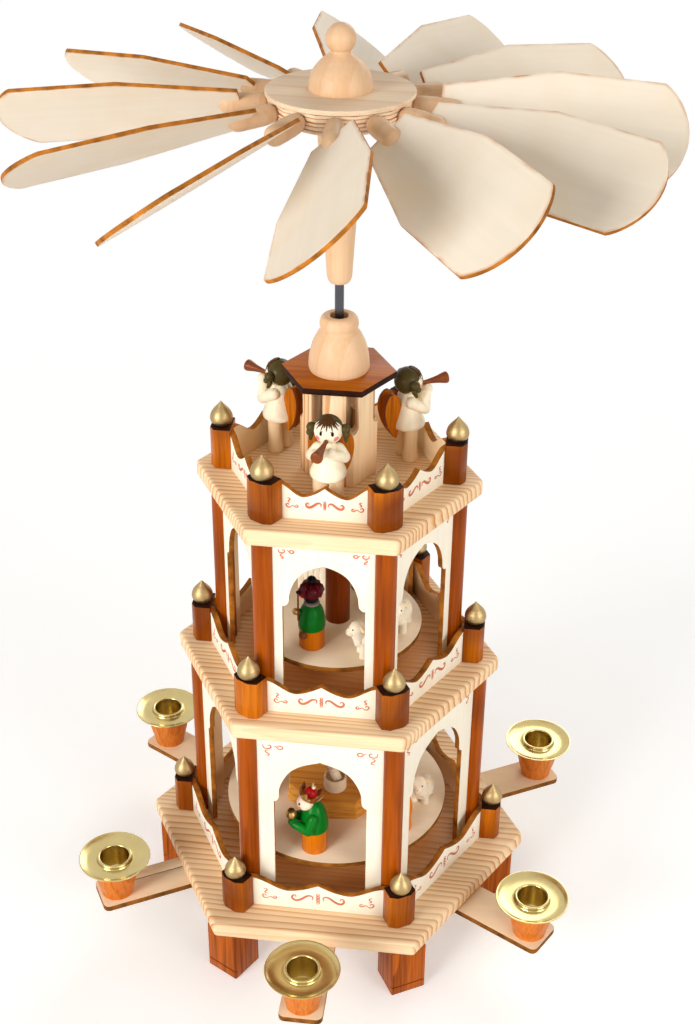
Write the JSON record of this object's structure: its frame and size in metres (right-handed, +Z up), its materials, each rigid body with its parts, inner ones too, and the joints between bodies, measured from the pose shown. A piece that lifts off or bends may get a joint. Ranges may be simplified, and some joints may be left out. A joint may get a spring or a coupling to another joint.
{
  "type": "christmas pyramid",
  "caption": "Hexagonal storeyed wooden candle pyramid with arcades, galleries, trumpet angels and candle arms; pitched wings on a central shaft turn figure discs.",
  "frame": {"origin": "middle of the footprint, on the surface that the six feet stand on", "axes": "+Z up the shaft; one side of the hexagon faces -Y, two of its corners lie on the X axis"},
  "size_m": [0.277, 0.277, 0.4439],
  "materials": {
    "pine": "waxed pale pine",
    "foot_wood": "stained reddish brown",
    "arm_plywood": "pale plywood with burnt edges",
    "brass": "polished",
    "arcade_wood": "cream panels between stained glossy columns",
    "gallery_wood": "cream fences, stained posts, bronze painted finials",
    "roof_stain": "stained brown",
    "turned_wood": "turned, clear waxed",
    "angel_paint": "cream paint, olive hair, brown wings and trumpet",
    "steel": "ground rod",
    "wing_plywood": "pale plywood with burnt edges",
    "green_paint": "gloss paint",
    "orange_paint": "gloss paint",
    "red_paint": "gloss paint",
    "fleece_paint": "cream, carved ribs",
    "brown_paint": "gloss paint"
  },
  "bodies": {
    "stand": {"base_plate": "pine", "middle_plate": "pine", "top_plate": "pine", "foot_1": "foot_wood", "foot_2": "foot_wood", "foot_3": "foot_wood", "foot_4": "foot_wood", "foot_5": "foot_wood", "foot_6": "foot_wood", "candle_arm_1": "arm_plywood", "candle_arm_2": "arm_plywood", "candle_arm_3": "arm_plywood", "candle_arm_4": "arm_plywood", "candle_arm_5": "arm_plywood", "candle_arm_6": "arm_plywood", "candle_socket_1": "brass", "candle_socket_2": "brass", "candle_socket_3": "brass", "candle_socket_4": "brass", "candle_socket_5": "brass", "candle_socket_6": "brass", "lower_arcade": "arcade_wood", "upper_arcade": "arcade_wood", "lower_gallery": "gallery_wood", "middle_gallery": "gallery_wood", "top_gallery": "gallery_wood", "turret": "pine", "roof_plate": "roof_stain", "bell_cap": "turned_wood", "angel_1": "angel_paint", "angel_2": "angel_paint", "angel_3": "angel_paint"},
    "rotor": {"shaft": "steel", "ferrule": "turned_wood", "hub": "pine", "knob": "turned_wood", "lower_turntable": "pine", "upper_turntable": "pine", "lower_king": "green_paint", "cradle": "turned_wood", "kneeling_figure": "orange_paint", "standing_figure": "red_paint", "lamb": "fleece_paint", "upper_king": "green_paint", "sheep_1": "fleece_paint", "sheep_2": "fleece_paint", "sheep_3": "fleece_paint", "back_figure": "brown_paint"},
    "blade_1": {"wing_1": "wing_plywood"},
    "blade_2": {"wing_2": "wing_plywood"},
    "blade_3": {"wing_3": "wing_plywood"},
    "blade_4": {"wing_4": "wing_plywood"},
    "blade_5": {"wing_5": "wing_plywood"},
    "blade_6": {"wing_6": "wing_plywood"},
    "blade_7": {"wing_7": "wing_plywood"},
    "blade_8": {"wing_8": "wing_plywood"},
    "blade_9": {"wing_9": "wing_plywood"},
    "blade_10": {"wing_10": "wing_plywood"},
    "blade_11": {"wing_11": "wing_plywood"},
    "blade_12": {"wing_12": "wing_plywood"}
  },
  "joints": [
    {"name": "rotor_spin", "type": "hinge", "parent": "stand", "child": "rotor", "pos_m": [0, 0, 0.0388], "axis": [0, 0, 1], "continuous": true},
    {"name": "wing_1_pitch", "type": "hinge", "parent": "rotor", "child": "blade_1", "pos_m": [0, 0, 0.4148], "axis": [0.0625, -0.9939, -0.0906], "range_deg": [-25, 30]},
    {"name": "wing_2_pitch", "type": "hinge", "parent": "rotor", "child": "blade_2", "pos_m": [0, 0, 0.4148], "axis": [0.5511, -0.8295, -0.0906], "range_deg": [-25, 30]},
    {"name": "wing_3_pitch", "type": "hinge", "parent": "rotor", "child": "blade_3", "pos_m": [0, 0, 0.4148], "axis": [0.892, -0.4428, -0.0906], "range_deg": [-25, 30]},
    {"name": "wing_4_pitch", "type": "hinge", "parent": "rotor", "child": "blade_4", "pos_m": [0, 0, 0.4148], "axis": [0.9939, 0.0625, -0.0906], "range_deg": [-25, 30]},
    {"name": "wing_5_pitch", "type": "hinge", "parent": "rotor", "child": "blade_5", "pos_m": [0, 0, 0.4148], "axis": [0.8295, 0.5511, -0.0906], "range_deg": [-25, 30]},
    {"name": "wing_6_pitch", "type": "hinge", "parent": "rotor", "child": "blade_6", "pos_m": [0, 0, 0.4148], "axis": [0.4428, 0.892, -0.0906], "range_deg": [-25, 30]},
    {"name": "wing_7_pitch", "type": "hinge", "parent": "rotor", "child": "blade_7", "pos_m": [0, 0, 0.4148], "axis": [-0.0625, 0.9939, -0.0906], "range_deg": [-25, 30]},
    {"name": "wing_8_pitch", "type": "hinge", "parent": "rotor", "child": "blade_8", "pos_m": [0, 0, 0.4148], "axis": [-0.5511, 0.8295, -0.0906], "range_deg": [-25, 30]},
    {"name": "wing_9_pitch", "type": "hinge", "parent": "rotor", "child": "blade_9", "pos_m": [0, 0, 0.4148], "axis": [-0.892, 0.4428, -0.0906], "range_deg": [-25, 30]},
    {"name": "wing_10_pitch", "type": "hinge", "parent": "rotor", "child": "blade_10", "pos_m": [0, 0, 0.4148], "axis": [-0.9939, -0.0625, -0.0906], "range_deg": [-25, 30]},
    {"name": "wing_11_pitch", "type": "hinge", "parent": "rotor", "child": "blade_11", "pos_m": [0, 0, 0.4148], "axis": [-0.8295, -0.5511, -0.0906], "range_deg": [-25, 30]},
    {"name": "wing_12_pitch", "type": "hinge", "parent": "rotor", "child": "blade_12", "pos_m": [0, 0, 0.4148], "axis": [-0.4428, -0.892, -0.0906], "range_deg": [-25, 30]}
  ]
}
